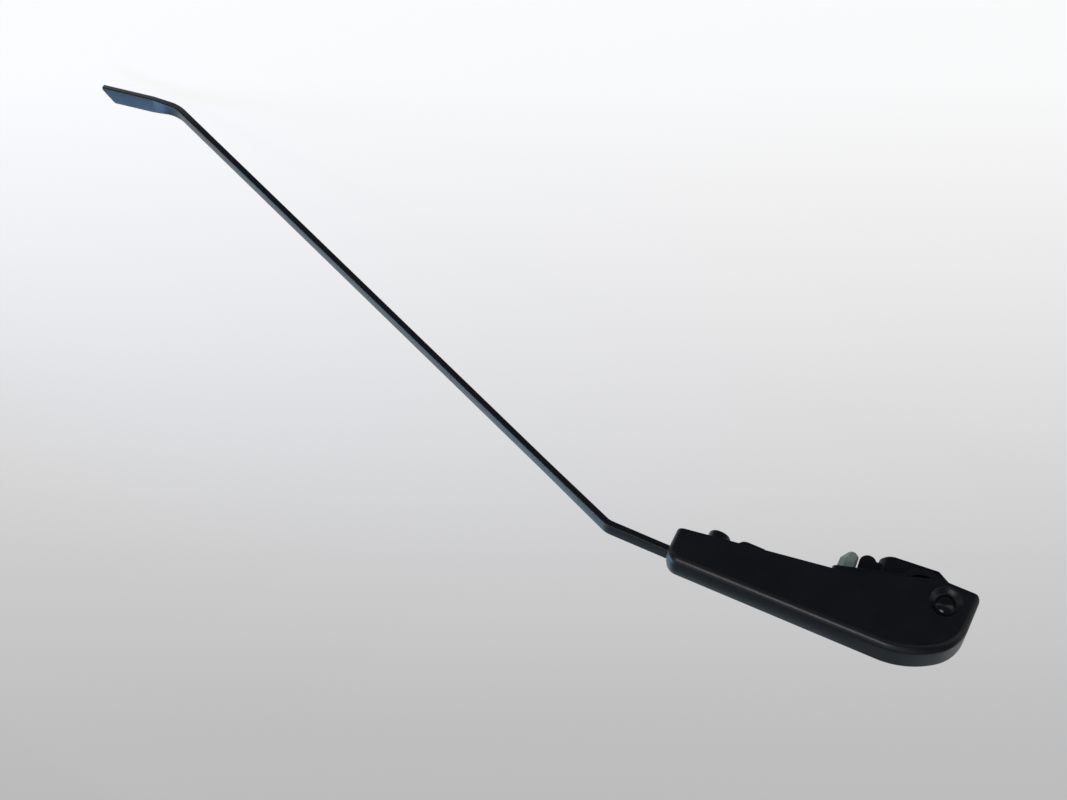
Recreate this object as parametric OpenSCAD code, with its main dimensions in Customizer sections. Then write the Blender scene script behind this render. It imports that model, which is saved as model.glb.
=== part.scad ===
// Wiper arm: a flat bar clamped in a pressed steel cover, which turns on a
// riveted pin in a cast mounting head. A tension spring inside the cover
// pulls on a C-shaped strap that is pinned to the head under the hinge.
//
// Frame: origin on the spindle axis at the seat of the head, +Z along the
// spindle away from the glass, the arm reaching forward along -X.
// "Arm coordinates" start at the hinge axis, with x to the rear along the
// cover's back and z away from the glass. "Strap coordinates" start at the
// strap pin, with x from the spring towards the pin.

/* [Head] */
// Height of the hinge axis above the head's seat
hinge_height = 15.4; // [14.8:0.1:17]
// Distance of the hinge axis behind the spindle axis
hinge_back = 26; // [25:0.5:30]
// Width of the head between its flat flanks
head_width = 12.3; // [11.6:0.1:12.5]
// Diameter of the round boss about the spindle
boss_d = 15.4; // [14.5:0.1:16]
// Height of the boss from its seat to the nut seat
boss_height = 13; // [12:0.5:14]
// Radius of the hinge lug about the hinge axis
lug_r = 9; // [8.5:0.1:9.5]
// Distance behind the spindle axis at which the seat ends
seat_back = 19.2; // [18:0.1:19.4]
// Height of the web between boss and lug
web_height = 9; // [7.5:0.5:11]
// Chamfer round the foot of the boss
foot_chamfer = 1.3; // [0.5:0.1:1.6]
// Radius of the nose in front of the boss
nose_r = 4; // [3:0.1:4.5]
// Width of that nose
nose_w = 10; // [7:0.5:11]
// Distance of the nose's centre in front of the spindle axis
nose_ahead = 12.2; // [11:0.1:13]
// Height of the nose's centre above the seat
nose_up = 6.6; // [6:0.1:7]

/* [Spindle socket] */
// Diameter of the taper socket at the seat
taper_d = 9.8; // [9.4:0.1:10.2]
// Diameter of the taper socket at its upper end
taper_top_d = 8.6; // [8.4:0.1:9]
// Depth of the taper socket
taper_depth = 7; // [5:0.5:8]
// Diameter of the stud hole above the taper
stud_d = 8.2; // [7.8:0.1:8.4]

/* [Hinge] */
// Diameter of the hinge pin
hinge_pin_d = 6; // [5:0.1:6.4]
// Outer diameter of the hinge bush
bush_d = 8; // [7.6:0.1:9]
// Diameter of the pin's domed heads
dome_d = 9.2; // [8.5:0.1:9.6]
// Height of the domed heads
dome_h = 1.9; // [1.2:0.1:2.2]
// Diameter of the shim washers beside the lug
shim_d = 9.6; // [9:0.1:10]
// Thickness of the shim washers
shim_t = 0.35; // [0.3:0.01:0.4]
// Gap between the head's flanks and the cover's ears, where the shims lie
ear_gap = 0.46; // [0.4:0.01:0.6]
// Radial clearance of a pin that turns
run_gap = 0.05; // [0.03:0.01:0.08]
// Radial clearance of a pin that is fixed
fixed_gap = 0.02; // [0.01:0.01:0.03]
// Angle through which the arm lifts off the glass
lift_max = 75; // [60:1:75]
// Angle by which the free arm points below the head's seat
droop = 5; // [3:0.5:7]

/* [Cover] */
// Length of the cover ahead of the hinge axis
cover_front = 123.3; // [118:1:130]
// Length of the cover behind the hinge axis
cover_rear = 13.5; // [13.3:0.1:14.5]
// Height of the cover's back above the hinge axis
cover_top = 31.3; // [30:0.1:34]
// Width of the cover at its front end
front_w = 16.5; // [16.2:0.1:18]
// Sheet thickness of the cover
wall = 1.5; // [1.2:0.1:1.6]
// Radius of the pressed edges between back, ends and sides
edge_r = 3.5; // [2.5:0.1:4]
// Radius of the back's curve above the head
crown_r = 42; // [38:1:46]
// Distance ahead of the hinge axis at which that curve starts
crown_ahead = 20; // [18:1:24]
// Radius of the rear corner
heel_r = 19; // [18:0.5:22]
// Radius of the corner between back and front end
front_corner_r = 5; // [4.2:0.1:7]
// Radius of the open edge's corner at the front end
lip_r = 2.5; // [1:0.1:3]
// Height of the open edge at the front end, above the hinge axis
lip_z = 16.3; // [15:0.1:18]
// Height of the open edge where the ears begin
ear_start_z = 4.9; // [3:0.1:7]
// Distance ahead of the hinge axis at which the ears begin
ear_start = 47; // [45:0.5:50]
// Distance ahead of the hinge axis at which the ears reach full depth
ear_full = 6; // [3:0.5:9]
// Depth of the ears below the hinge axis
ear_drop = 9.6; // [9:0.1:9.7]
// Radius of the ears' rear corner
ear_r = 3; // [2:0.1:4]
// Gap between the rim of the dished seat round the hinge pin and the strap's eye
dish_gap = 0.18; // [0.15:0.01:0.6]
// Radius of the flat floor of that seat
dish_floor_r = 5; // [4.8:0.1:5.4]
// Depth of the dished seat
dish_depth = 1.95; // [1.7:0.05:2]

/* [Bar] */
// Width of the bar inside the cover
bar_w = 9; // [8:0.1:9.4]
// Thickness of the bar inside the cover
bar_t = 3.3; // [3:0.1:3.6]
// Width of the bar at its slim end
tip_w = 8.4; // [7.5:0.1:9]
// Thickness of the bar at its slim end
tip_t = 2.9; // [2.5:0.1:3.3]
// Radius of the bar's long edges
bar_edge_r = 0.7; // [0.3:0.1:1]
// Length of the bar between the cover's front end and its first bend
stub_length = 30.4; // [20:0.1:60]
// Angle of that bend towards the glass
crank = 22.1; // [10:0.1:25]
// Length from the first bend to the tip bend
main_length = 319.3; // [220:1:420]
// Angle of the tip bend, back from the glass
tip_bend = 31.6; // [15:0.1:35]
// Length of the tip along its centre
tip_length = 38; // [30:1:60]
// Twist of the tip about its own length
tip_twist = 17; // [0:1:20]
// Length over which the tip twists
twist_length = 8; // [6:0.5:12]
// How far the slanted end runs back across the width
tip_slant = 8.1; // [2:0.1:10]
// Centre radius of the two outer bends
bend_r = 9; // [6:0.5:14]
// Distance of the bar's hooked tail behind the clamp screw
tail_back = 12.5; // [12:0.1:14]
// Height of the tail's lower end above the hinge axis
tail_end_z = 7.7; // [7:0.1:9]
// Centre radius of the tail's bend
tail_r = 4.65; // [4:0.05:5]

/* [Clamp] */
// Distance of the clamp screw behind the cover's front end
clamp_inset = 18.3; // [16:0.1:20]
// Diameter of the clamp screw
screw_d = 5.8; // [5:0.1:6]
// Diameter of its pan head
screw_head_d = 10.4; // [9:0.1:11]
// Height of its pan head
screw_head_h = 4; // [3:0.1:4.5]
// Width across flats of its hexagon socket
socket_af = 5; // [4:0.5:5]
// Thickness of the spring washer
washer_t = 1.2; // [0.8:0.1:1.4]
// Diameter of the spring washer
washer_d = 9.8; // [9:0.1:10.4]
// Length of the clamp block along the bar
block_l = 11; // [9:0.5:11.5]
// Gap between the clamp block and the cover's sides
block_gap = 1; // [0.5:0.1:1.5]
// Height of the clamp block's lower face above the hinge axis
block_z = 13.3; // [12.8:0.1:14]
// Depth of the groove that holds the bar
groove_depth = 1.5; // [0.8:0.1:2]
// Length of the backing plate
plate_l = 19; // [15:0.5:20]
// Thickness of the backing plate
plate_t = 2; // [1.5:0.1:2.5]

/* [Strap and spring] */
// Distance of the strap pin ahead of the hinge axis
pin_ahead = 4.7; // [4.4:0.1:5]
// Distance of the strap pin below the hinge axis
pin_below = 9.25; // [9:0.05:9.5]
// Diameter of the strap pin
strap_pin_d = 3.5; // [3:0.1:3.8]
// Thickness of the strap
strap_t = 1.1; // [1:0.05:1.2]
// Height of the strap's straight legs
strap_h = 5; // [4:0.1:5.4]
// Gap between the strap and the head's flanks
strap_gap = 0.3; // [0.25:0.01:0.35]
// Radius of the strap's eyes
strap_eye_r = 2.6; // [2.4:0.1:2.7]
// Gap between the strap's curved throat and the dished seat when the arm is up
throat_gap = 1; // [0.8:0.1:1.3]
// Inner radius of the strap's two folded corners
strap_bend_r = 1.2; // [0.8:0.1:1.6]
// Width of the strap's curved part
throat_w = 3.2; // [2.8:0.1:3.3]
// Height above the hinge axis at which the spring pulls on the tail
hook_z = 18; // [17:0.1:19]
// Height of the tail's slot
slot_h = 6.4; // [6:0.1:7]
// Width of the tail's slot
slot_w = 3.2; // [2.6:0.1:3.6]
// How far the slot's centre lies below the line of pull
slot_low = 1; // [0.5:0.1:1.2]
// Diameter of the spring wire
wire_d = 1.6; // [1.2:0.1:1.8]
// Outer diameter of the spring
spring_d = 9; // [8:0.1:9.4]
// Least gap between two turns of the spring at rest
coil_space = 0.19; // [0.15:0.01:0.5]
// Length of straight wire between the strap's front end and the coils
rear_lead = 4; // [3:0.5:6]
// Length of straight wire between the coils and the tail
front_lead = 6; // [5:0.5:8]
// Centre radius of the wire's end hooks
hook_r = 1.8; // [1.6:0.1:2.2]
// Gap between the front hook and the tail at rest
hook_gap = 0.75; // [0.6:0.05:0.9]
// Gap between the last coil and the wire of the front hook
coil_gap = 0.2; // [0.1:0.05:0.4]
// Gap round the wire where it passes through strap and saddle
wire_gap = 0.3; // [0.2:0.05:0.5]

/* [Saddle] */
// Length of the saddle block along the strap
saddle_l = 8.2; // [7.8:0.1:9]
// Height of the saddle block
saddle_h = 6; // [5:0.5:7]
// Side gap between saddle and strap
saddle_gap = 0.2; // [0.1:0.05:0.3]
// Width of the buffer post along the arm
post_l = 7.1; // [6:0.1:8]
// Width of the buffer post across the arm
post_w = 8.4; // [7:0.1:10]
// Length of the post below the line of pull
post_length = 12.9; // [11:0.1:14]
// Gap between the post and the head's nose
post_nose_gap = 0.6; // [0.5:0.05:1]
// Distance of the post's axis behind the inside of the strap's front end
post_back = 4.2; // [4:0.1:5]
// Chamfer on the post's front corners
post_chamfer = 2.9; // [1:0.1:3.2]
// Radius at the post's end
post_r = 2; // [1:0.1:3]

/* [Hidden] */

// Faces of a full circle on exact round parts
round_fn = 64;
// Faces of a full circle on the spheres that the cover's hull spans
form_fn = 32;
// A little more than nothing, for cuts that pass a face
over = 1;
// Gap where two flat faces rest on each other
seat_gap = 0.05;
black = "#17181b";
steel = "#8b8f94";

// Width of the cover at the hinge, and half its outer width at x in arm coordinates
hinge_w = head_width + 2 * (ear_gap + wall + dish_depth);
function half_w(x) = (front_w + (hinge_w - front_w) * (x + cover_front) / cover_front) / 2;

// Places along the bar, ahead of the hinge axis, and height of the bar's centre
clamp_ahead = cover_front - clamp_inset;
tail_ahead = clamp_ahead - tail_back;
crank_ahead = cover_front + stub_length;
bar_z = cover_top - wall - seat_gap - plate_t - bar_t / 2;

// Points along an arc in a plane
function arc(c, r, a0, a1, n) = [
    for (i = [0:n]) [c[0] + r * cos(a0 + (a1 - a0) * i / n), c[1] + r * sin(a0 + (a1 - a0) * i / n)]
];

// Turn a point in the x-z plane, nose up for a positive angle
function nose_up_turn(p, a) = [p[0] * cos(a) + p[1] * sin(a), -p[0] * sin(a) + p[1] * cos(a)];

// Arm coordinates to the part's own frame, with the arm lifted by an angle
hinge = [hinge_back, hinge_height];
function from_arm(p, lift = 0) = hinge + nose_up_turn(p, lift - droop);

// Line of pull from the strap pin to the tail, at rest and with the arm up
strap_pin_at = hinge - [pin_ahead, pin_below];
hook_at = [-tail_ahead, hook_z];
pull_rest = from_arm(hook_at) - strap_pin_at;
pull_up = from_arm(hook_at, lift_max) - strap_pin_at;
strap_rise = atan2(pull_rest[1], -pull_rest[0]);
strap_rise_up = atan2(pull_up[1], -pull_up[0]);
pull_length = norm(pull_rest);

// Where the hinge lies in strap coordinates when the arm is up
throat_c = nose_up_turn(hinge - strap_pin_at, -strap_rise_up);
dish_r = norm(hinge - strap_pin_at) - strap_eye_r - dish_gap;
throat_r = dish_r + throat_gap;

// The post leans in strap coordinates and clears the head's nose, and the strap reaches past it
lean = strap_rise + droop;
nose_c = nose_up_turn([-nose_ahead, nose_up] - strap_pin_at, -strap_rise);
post_x = nose_c[0] - (nose_r + post_nose_gap + post_l / 2 - nose_c[1] * sin(lean)) / cos(lean);
strap_reach = post_back - post_x;

// Centres of the cover's rounded edges, in arm coordinates
heel_c = [
    cover_rear - heel_r,
    cover_top - crown_r + sqrt(pow(crown_r - heel_r, 2) - pow(cover_rear - heel_r + crown_ahead, 2))
];
crown_c = [-crown_ahead, cover_top - crown_r];
blend_a = atan2(heel_c[1] - crown_c[1], heel_c[0] - crown_c[0]);
below = -ear_drop - 2 * edge_r;
edge_centres = concat(
    [[-cover_front + edge_r, below]],
    arc([-cover_front + front_corner_r, cover_top - front_corner_r], front_corner_r - edge_r, 180, 90, 3),
    arc(crown_c, crown_r - edge_r, 90, blend_a, 4),
    arc(heel_c, heel_r - edge_r, blend_a, 0, 6),
    [[cover_rear - edge_r, below]]
);
inner_half = half_w(0) - wall;
dish_slope = atan2(dish_depth, dish_r - dish_floor_r);
dish_shift = wall * tan(dish_slope / 2);
floor_y = half_w(0) - dish_depth;

// A rectangle w by h with rounded corners, as points
function rounded(w, h, r, n = 3) = concat(
    arc([w / 2 - r, h / 2 - r], r, 0, 90, n),
    arc([-w / 2 + r, h / 2 - r], r, 90, 180, n),
    arc([-w / 2 + r, -h / 2 + r], r, 180, 270, n),
    arc([w / 2 - r, -h / 2 + r], r, 270, 360, n)
);

// Children given in arm coordinates
module in_arm() {
    translate([hinge_back, 0, hinge_height]) rotate([0, -droop, 0]) children();
}

// Children given in strap coordinates
module in_strap() {
    translate([strap_pin_at[0], 0, strap_pin_at[1]]) rotate([0, strap_rise, 0]) children();
}

// An outline in x and z, carried across y to a width w about the middle
module across(w) {
    rotate([90, 0, 0]) linear_extrude(w, center = true) children();
}

// A cylinder along y about the middle
module cross_cylinder(r, w) {
    rotate([90, 0, 0]) cylinder(r = r, h = w, center = true, $fn = round_fn);
}

// The head from the side: web, underside that runs up to the lug, lug and heel
module head_side_outline() {
    corner = [seat_back, 0];
    reach = hinge - corner;
    turn = atan2(reach[1], reach[0]) - asin(lug_r / norm(reach));
    run = sqrt(pow(norm(reach), 2) - pow(lug_r, 2));
    tangent = corner + run * [cos(turn), sin(turn)];
    polygon([
        [0, 0], corner, tangent, hinge,
        [hinge_back - lug_r * cos(40), web_height], [0, web_height]
    ]);
    translate(hinge) circle(r = lug_r, $fn = round_fn);
    translate(hinge) rotate(droop) heel_outline();
}

// The heel behind the lug meets the cover's rear wall when the arm is down
module heel_outline() {
    stop_x = cover_rear - wall - strap_gap;
    inside = lug_r * 0.7;
    polygon([
        [inside, lug_r * 0.15], [stop_x, lug_r * 0.3], [stop_x, lug_r * 0.76],
        [lug_r * 0.55, lug_r * 0.95], [inside * 0.6, lug_r * 0.75]
    ]);
}

module boss_form() {
    intersection() {
        rotate_extrude($fn = round_fn)
            polygon([
                [0, 0], [boss_d / 2 - foot_chamfer, 0], [boss_d / 2, foot_chamfer],
                [boss_d / 2, boss_height - 0.6], [boss_d / 2 - 0.6, boss_height], [0, boss_height]
            ]);
        cube([2 * boss_d, head_width, 4 * boss_height], center = true);
    }
}

module mounting_head() {
    color(black) difference() {
        union() {
            boss_form();
            across(head_width) head_side_outline();
            translate([-nose_ahead, 0, nose_up]) cross_cylinder(nose_r, nose_w);
            translate([-nose_ahead, -nose_w / 2, nose_up - nose_r / 2])
                cube([nose_ahead, nose_w, 1.5 * nose_r]);
        }
        translate([0, 0, -over])
            cylinder(
                d1 = taper_d + (taper_d - taper_top_d) * over / taper_depth,
                d2 = taper_top_d, h = taper_depth + over, $fn = round_fn
            );
        cylinder(d = stud_d, h = boss_height + over, $fn = round_fn);
        translate([hinge_back, 0, hinge_height])
            cross_cylinder(bush_d / 2, head_width + over);
        translate([strap_pin_at[0], 0, strap_pin_at[1]])
            cross_cylinder(strap_pin_d / 2 + fixed_gap, head_width + over);
    }
}

module hinge_bush() {
    color("#9a8a5c") translate([hinge_back, 0, hinge_height]) difference() {
        cross_cylinder(bush_d / 2 - fixed_gap, head_width);
        cross_cylinder(hinge_pin_d / 2 + run_gap, head_width + over);
    }
}

strap_half = head_width / 2 + strap_gap + strap_t;

module strap_pin() {
    color(steel) translate([strap_pin_at[0], 0, strap_pin_at[1]])
        cross_cylinder(strap_pin_d / 2, 2 * strap_half + 0.3);
}

// The pressed form whose edges are rounded to radius r about the edge centres
module cover_form(r) {
    hull() for (c = edge_centres, side = [-1, 1])
        translate([c[0], side * (half_w(c[0]) - edge_r), c[1]]) sphere(r, $fn = form_fn);
}

// What stays of the form above the open edge
module cover_side_outline() {
    polygon(concat(
        [[-cover_front - over, cover_top + over], [cover_rear + over, cover_top + over],
         [cover_rear + over, -ear_drop + ear_r]],
        arc([cover_rear - ear_r, -ear_drop + ear_r], ear_r, 0, -90, 5),
        [[-ear_full, -ear_drop], [-ear_start, ear_start_z]],
        arc([-cover_front + lip_r, lip_z + lip_r], lip_r, 270, 180, 4),
        [[-cover_front - over, lip_z + lip_r]]
    ));
}

// A cone along y between two distances from the middle, on one side
module side_cone(side, y0, r0, y1, r1) {
    rotate([-90 * side, 0, 0]) translate([0, 0, y0])
        cylinder(r1 = r0, r2 = r1, h = y1 - y0, $fn = round_fn);
}

module arm_cover() {
    grow = (dish_r - dish_floor_r) / dish_depth;
    color(black) in_arm() difference() {
        intersection() {
            cover_form(edge_r);
            across(3 * hinge_w) cover_side_outline();
        }
        difference() {
            cover_form(edge_r - wall);
            for (side = [-1, 1])
                side_cone(
                    side, floor_y - wall, dish_floor_r + dish_shift,
                    half_w(0) - wall / 2, dish_r + dish_shift + grow * wall / 2
                );
        }
        for (side = [-1, 1])
            side_cone(side, floor_y, dish_floor_r, half_w(0) + over, dish_r + grow * over);
        cross_cylinder(hinge_pin_d / 2 + fixed_gap, 2 * hinge_w);
        translate([-cover_front - over, -bar_w / 2 - 0.3, bar_z - bar_t / 2 - 0.3])
            cube([wall + 2 * over, bar_w + 0.6, bar_t + 0.6]);
    }
}

module hinge_pin() {
    dome_r = (pow(dome_d / 2, 2) + pow(dome_h, 2)) / (2 * dome_h);
    color(steel) in_arm() {
        cross_cylinder(hinge_pin_d / 2, 2 * floor_y);
        for (side = [-1, 1]) intersection() {
            translate([0, side * (floor_y + dome_h - dome_r), 0]) sphere(dome_r, $fn = round_fn);
            side_cone(side, floor_y, dome_d / 2 + 0.2, floor_y + 2 * dome_h, dome_d / 2 + 0.2);
        }
    }
}

module hinge_shims() {
    middle = (head_width / 2 + floor_y - wall) / 2;
    color(steel) in_arm() for (side = [-1, 1]) difference() {
        side_cone(side, middle - shim_t / 2, shim_d / 2, middle + shim_t / 2, shim_d / 2);
        cross_cylinder(hinge_pin_d / 2 + run_gap, 2 * hinge_w);
    }
}

// Direction of the bar and of its outer face at a pitch angle, in x and z
function ahead(p) = [-cos(p), -sin(p)];
function outward(p) = [-sin(p), cos(p)];

// Stations of a bend from pitch p0 to p1 that starts at a point
function bend_stations(at, r, p0, p1, w, t, n) =
    let (side = p1 > p0 ? 1 : -1, c = at - side * r * outward(p0))
        [for (i = [0:n]) let (p = p0 + (p1 - p0) * i / n) [c + side * r * outward(p), p, w, t, 0, 0]];

// Faces of a tube given as rings of points, ring after ring
function tube_faces(rings, sides) = concat(
    [[for (j = [0:sides - 1]) j]],
    [
        for (i = [0:rings - 2], j = [0:sides - 1])
            let (k = (j + 1) % sides)
                [i * sides + j, (i + 1) * sides + j, (i + 1) * sides + k, i * sides + k]
    ],
    [[for (j = [sides - 1:-1:0]) (rings - 1) * sides + j]]
);

// The bar's stations: place, pitch, width, thickness, twist and slant
crank_cut = bend_r * tan(crank / 2);
tip_cut = bend_r * tan(tip_bend / 2);
tip_pitch = crank - tip_bend;
crank_from = [-crank_ahead + crank_cut, bar_z];
crank_stations = bend_stations(crank_from, bend_r, 0, crank, bar_w, bar_t, 8);
bend_from = crank_stations[8][0] + (main_length - crank_cut - tip_cut) * ahead(crank);
tip_stations = bend_stations(bend_from, bend_r, crank, tip_pitch, tip_w, tip_t, 10);
twist_from = tip_stations[10][0];
twist_to = twist_from + twist_length * ahead(tip_pitch);
tip_end = twist_from + (tip_length - tip_cut) * ahead(tip_pitch);
stations = concat(
    [[[-tail_ahead, tail_end_z], -90, bar_w, bar_t, 0, 0]],
    bend_stations([-tail_ahead, bar_z - tail_r], tail_r, -90, 0, bar_w, bar_t, 10),
    crank_stations,
    tip_stations,
    [
        for (i = [1:5])
            [twist_from + (twist_to - twist_from) * i / 5, tip_pitch, tip_w, tip_t, tip_twist * i / 5, 0]
    ],
    [[tip_end, tip_pitch, tip_w, tip_t, tip_twist, tip_slant]]
);

// One ring of points round the bar at a station
function bar_ring(s) = [
    for (q = rounded(s[3], s[2], bar_edge_r))
        let (
            u = q[0] * cos(s[4]) - q[1] * sin(s[4]),
            v = q[0] * sin(s[4]) + q[1] * cos(s[4]),
            c = s[0] + u * outward(s[1]) + s[5] * q[1] / s[2] * ahead(s[1])
        ) [c[0], v, c[1]]
];

module arm_bar() {
    bore_gap = 0.3;
    slot_flat = slot_h - slot_w;
    color(black) in_arm() difference() {
        polyhedron([for (s = stations, q = bar_ring(s)) q], tube_faces(len(stations), 16));
        translate([-clamp_ahead, 0, 0])
            cylinder(d = screw_d + 2 * bore_gap, h = cover_top, $fn = round_fn);
        translate([-tail_ahead, 0, hook_z - slot_low]) {
            cube([2 * bar_t, slot_w, slot_flat], center = true);
            for (end = [-1, 1]) translate([0, 0, end * slot_flat / 2])
                rotate([0, 90, 0]) cylinder(d = slot_w, h = 2 * bar_t, center = true, $fn = form_fn);
        }
    }
}

bar_top = bar_z + bar_t / 2;
bar_low = bar_z - bar_t / 2;

module backing_plate() {
    plate_w = 2 * (half_w(-clamp_ahead - plate_l / 2) - edge_r);
    color(steel) in_arm() difference() {
        translate([-clamp_ahead, 0, bar_top])
            linear_extrude(plate_t) polygon(rounded(plate_l, plate_w, 1));
        translate([-clamp_ahead, 0, 0])
            cylinder(d = screw_d + 2 * fixed_gap, h = 2 * cover_top, $fn = round_fn);
    }
}

module clamp_block() {
    block_w = 2 * (half_w(-clamp_ahead) - wall - block_gap);
    bore_gap = 0.3;
    side_gap = 0.15;
    color(steel) in_arm() difference() {
        translate([-clamp_ahead, 0, block_z])
            linear_extrude(bar_low + groove_depth - block_z) polygon(rounded(block_l, block_w, 1));
        translate([-clamp_ahead - block_l, -bar_w / 2 - side_gap, bar_low])
            cube([2 * block_l, bar_w + 2 * side_gap, 2 * groove_depth]);
        translate([-clamp_ahead, 0, 0])
            cylinder(d = screw_d + 2 * bore_gap, h = cover_top, $fn = round_fn);
    }
}

module spring_washer() {
    split = 1.1;
    color(steel) in_arm() translate([-clamp_ahead, 0, block_z - washer_t]) difference() {
        cylinder(d = washer_d, h = washer_t, $fn = round_fn);
        translate([0, 0, -over]) cylinder(d = screw_d + 0.4, h = washer_t + 2 * over, $fn = round_fn);
        translate([0, -split / 2, -over]) cube([washer_d, split, washer_t + 2 * over]);
    }
}

module clamp_screw() {
    seat = block_z - washer_t;
    crown = 0.9;
    shank = cover_top - wall - seat - 0.4;
    color(steel) in_arm() translate([-clamp_ahead, 0, seat]) difference() {
        rotate_extrude($fn = round_fn) polygon([
            [0, -screw_head_h], [screw_head_d / 2 - crown, -screw_head_h],
            [screw_head_d / 2 - crown / 3, -screw_head_h + crown / 3],
            [screw_head_d / 2, -screw_head_h + crown], [screw_head_d / 2, 0],
            [screw_d / 2, 0], [screw_d / 2, shank - 0.5], [screw_d / 2 - 0.5, shank], [0, shank]
        ]);
        translate([0, 0, -screw_head_h - over])
            cylinder(d = socket_af / cos(30), h = screw_head_h * 0.6 + over, $fn = 6);
    }
}

// The strap seen from the side: eye, curved throat and straight leg
module strap_side_outline() {
    outer_r = throat_r + throat_w;
    difference() {
        union() {
            circle(r = strap_eye_r, $fn = round_fn);
            intersection() {
                translate(throat_c) circle(r = outer_r, $fn = round_fn);
                translate([throat_c[0] - 2 * outer_r, -2 * outer_r]) square([4 * outer_r, 2 * outer_r]);
            }
            translate([-strap_reach - strap_t, -strap_h / 2])
                square([strap_reach + strap_t + throat_c[0], strap_h]);
        }
        translate(throat_c) circle(r = throat_r, $fn = round_fn);
        circle(d = strap_pin_d + 2 * run_gap, $fn = round_fn);
    }
}

// The folded strip seen from above: two legs joined at the front end
module strap_plan() {
    inner_r = strap_bend_r;
    difference() {
        union() {
            translate([-strap_reach - strap_t + inner_r + strap_t, -strap_half])
                square([strap_reach + boss_d, 2 * strap_half]);
            translate([-strap_reach - strap_t, -strap_half + inner_r + strap_t])
                square([2 * strap_t, 2 * (strap_half - inner_r - strap_t)]);
            for (side = [-1, 1])
                translate([-strap_reach + inner_r, side * (strap_half - strap_t - inner_r)])
                    circle(r = inner_r + strap_t, $fn = round_fn);
        }
        translate([-strap_reach + inner_r, -strap_half + strap_t])
            square([strap_reach + 2 * boss_d, 2 * (strap_half - strap_t)]);
        translate([-strap_reach, -strap_half + strap_t + inner_r])
            square([2 * inner_r, 2 * (strap_half - strap_t - inner_r)]);
        for (side = [-1, 1])
            translate([-strap_reach + inner_r, side * (strap_half - strap_t - inner_r)])
                circle(r = inner_r, $fn = round_fn);
    }
}

wire_hole_d = wire_d + 2 * wire_gap;

module tension_strap() {
    color(steel) in_strap() difference() {
        intersection() {
            across(3 * strap_half) strap_side_outline();
            translate([0, 0, -boss_d * 2]) linear_extrude(boss_d * 4) strap_plan();
        }
        translate([-strap_reach - 2 * strap_t, 0, 0]) rotate([0, 90, 0])
            cylinder(d = wire_hole_d, h = 4 * strap_t, $fn = round_fn);
    }
}

// The post stands square to the cover's back, so it leans in strap coordinates
module buffer_post() {
    translate([post_x, 0, 0]) rotate([0, -lean, 0]) intersection() {
        translate([0, 0, -post_length - over]) linear_extrude(post_length + over) polygon([
            [-post_l / 2, -post_w / 2 + post_chamfer], [-post_l / 2 + post_chamfer, -post_w / 2],
            [post_l / 2 - 1, -post_w / 2], [post_l / 2, -post_w / 2 + 1],
            [post_l / 2, post_w / 2 - 1], [post_l / 2 - 1, post_w / 2],
            [-post_l / 2 + post_chamfer, post_w / 2], [-post_l / 2, post_w / 2 - post_chamfer]
        ]);
        across(2 * post_w) polygon(concat(
            [[post_l / 2, 0], [-post_l / 2, 0]],
            arc([-post_l / 2 + post_r, -post_length + post_r], post_r, 180, 270, 5),
            arc([post_l / 2 - post_r, -post_length + post_r], post_r, 270, 360, 5)
        ));
    }
}

module spring_saddle() {
    half = strap_half - strap_t - saddle_gap;
    color("#b9c0b4") in_strap() difference() {
        union() {
            translate([-strap_reach + saddle_l / 2 + seat_gap, 0, 0]) intersection() {
                across(2 * half) polygon(rounded(saddle_l, saddle_h, 1));
                linear_extrude(2 * saddle_h, center = true) polygon([
                    [-saddle_l / 2 + strap_bend_r, -half], [saddle_l / 2, -half],
                    [saddle_l / 2, half], [-saddle_l / 2 + strap_bend_r, half],
                    [-saddle_l / 2, half - strap_bend_r], [-saddle_l / 2, strap_bend_r - half]
                ]);
            }
            buffer_post();
        }
        translate([-strap_reach - over, 0, 0]) rotate([0, 90, 0])
            cylinder(d = wire_hole_d, h = saddle_l + 4 * over, $fn = round_fn);
    }
}

coil_r = (spring_d - wire_d) / 2;
coil_start = strap_reach + strap_t + rear_lead;
coil_end = pull_length - front_lead;
spring_turns = floor((coil_end - coil_start) / (wire_d + coil_space));

// A hook bent from the wire: run on the axis, then a half turn in the side view
module wire_hook(from_x, to_x, bend_side) {
    dir = to_x > from_x ? 1 : -1;
    translate([min(from_x, to_x), 0, 0]) rotate([0, 90, 0])
        cylinder(d = wire_d, h = abs(to_x - from_x), $fn = round_fn / 2);
    translate([to_x, 0, bend_side * hook_r]) rotate([90, 0, 0])
        rotate([0, 0, dir > 0 ? -90 : 90])
            rotate_extrude(angle = 180, $fn = round_fn / 2)
                translate([hook_r, 0]) circle(d = wire_d, $fn = round_fn / 2);
}

// The wire's climb from the axis to the coils
module wire_riser(at_x) {
    translate([at_x, 0, 0]) {
        sphere(d = wire_d, $fn = round_fn / 2);
        cylinder(d = wire_d, h = coil_r, $fn = round_fn / 2);
    }
}

// The coils as one tube: rings of points along a helix about the strap's line
module coils() {
    steps = 20;
    sides = 6;
    rings = steps * spring_turns;
    pitch = (coil_end - coil_start) / spring_turns;
    pts = [
        for (i = [0:rings], j = [0:sides - 1])
            let (a = 360 * i / steps, b = 360 * j / sides, r = coil_r + wire_d / 2 * cos(b))
                [-coil_start - pitch * i / steps + wire_d / 2 * sin(b), r * sin(a), r * cos(a)]
    ];
    polyhedron(pts, tube_faces(rings + 1, sides));
}

module tension_spring() {
    color(steel) in_strap() {
        coils();
        wire_riser(-coil_start);
        wire_hook(-coil_start, -strap_reach + saddle_l + 0.8, 1);
    }
}

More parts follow.
